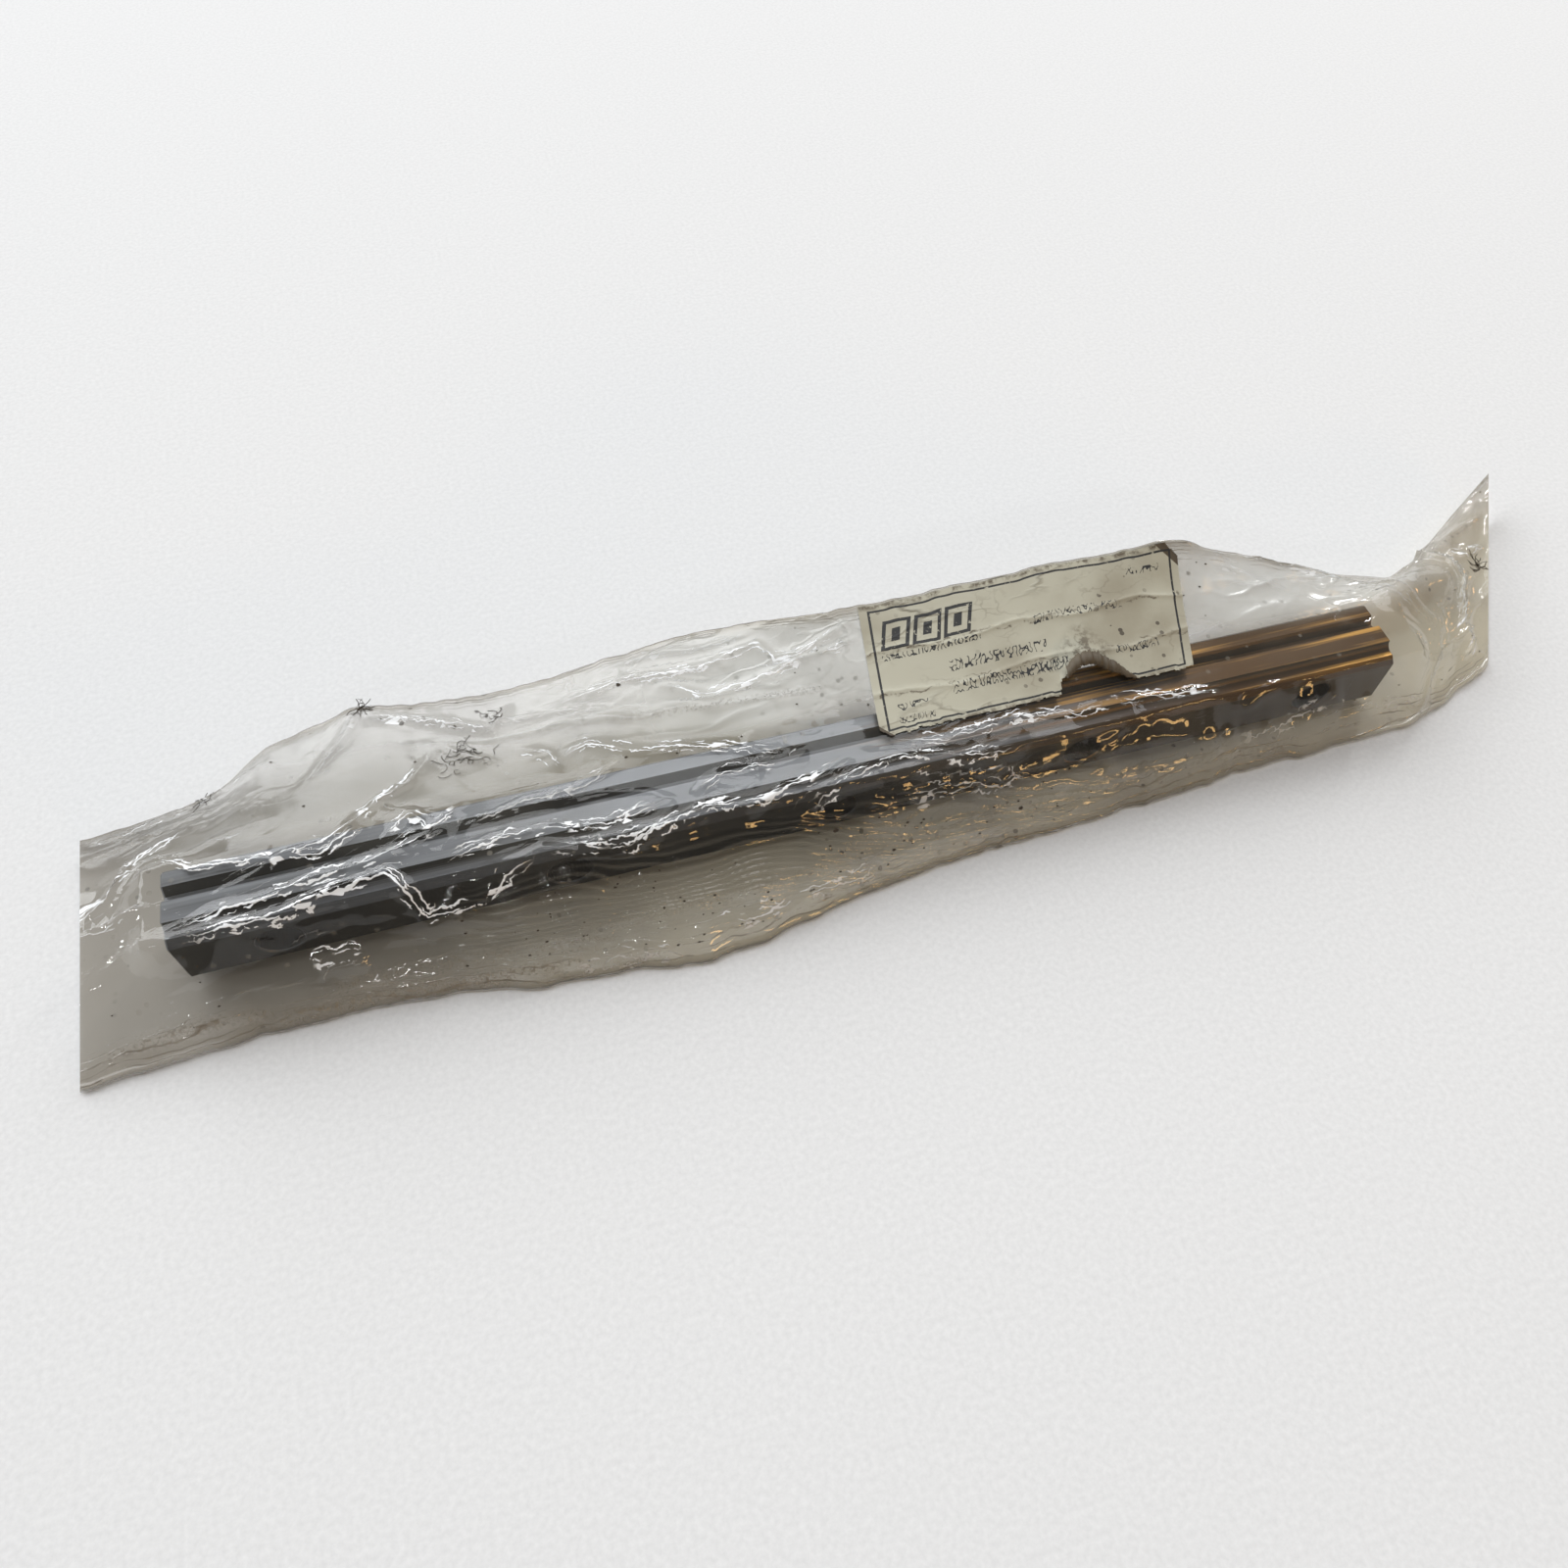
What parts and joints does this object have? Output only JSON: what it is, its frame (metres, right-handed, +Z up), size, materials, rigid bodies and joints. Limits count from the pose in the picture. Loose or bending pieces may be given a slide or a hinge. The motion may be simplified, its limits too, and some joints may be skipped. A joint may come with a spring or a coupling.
{
  "type": "bagged linear guide rail",
  "caption": "Profiled steel guide rail for a recirculating-ball carriage, with counterbored screw holes, lying on its side in a crumpled clear tube bag with a torn paper label.",
  "frame": {"origin": "on the flat underside of the bag, halfway along the rail and below the middle of its height", "axes": "+X along the rail towards the folded tail of the bag, +Z up, -Y towards the face with the screw counterbores"},
  "size_m": [0.3745, 0.0785, 0.0284],
  "materials": {
    "guide_rail": "ground and hardened bearing steel with a film of oil",
    "poly_bag": "clear polyethylene film, creased, with grime in the folds",
    "paper_label": "matt off-white label stock, creased, torn and stained"
  },
  "bodies": {
    "bag": {"poly_bag": "poly_bag", "paper_label": "paper_label"},
    "rail": {"guide_rail": "guide_rail"}
  },
  "joints": [
    {"name": "rail_shift", "type": "slide", "parent": "bag", "child": "rail", "axis": [1, 0, 0], "range_m": [-0.003, 0.006]}
  ]
}
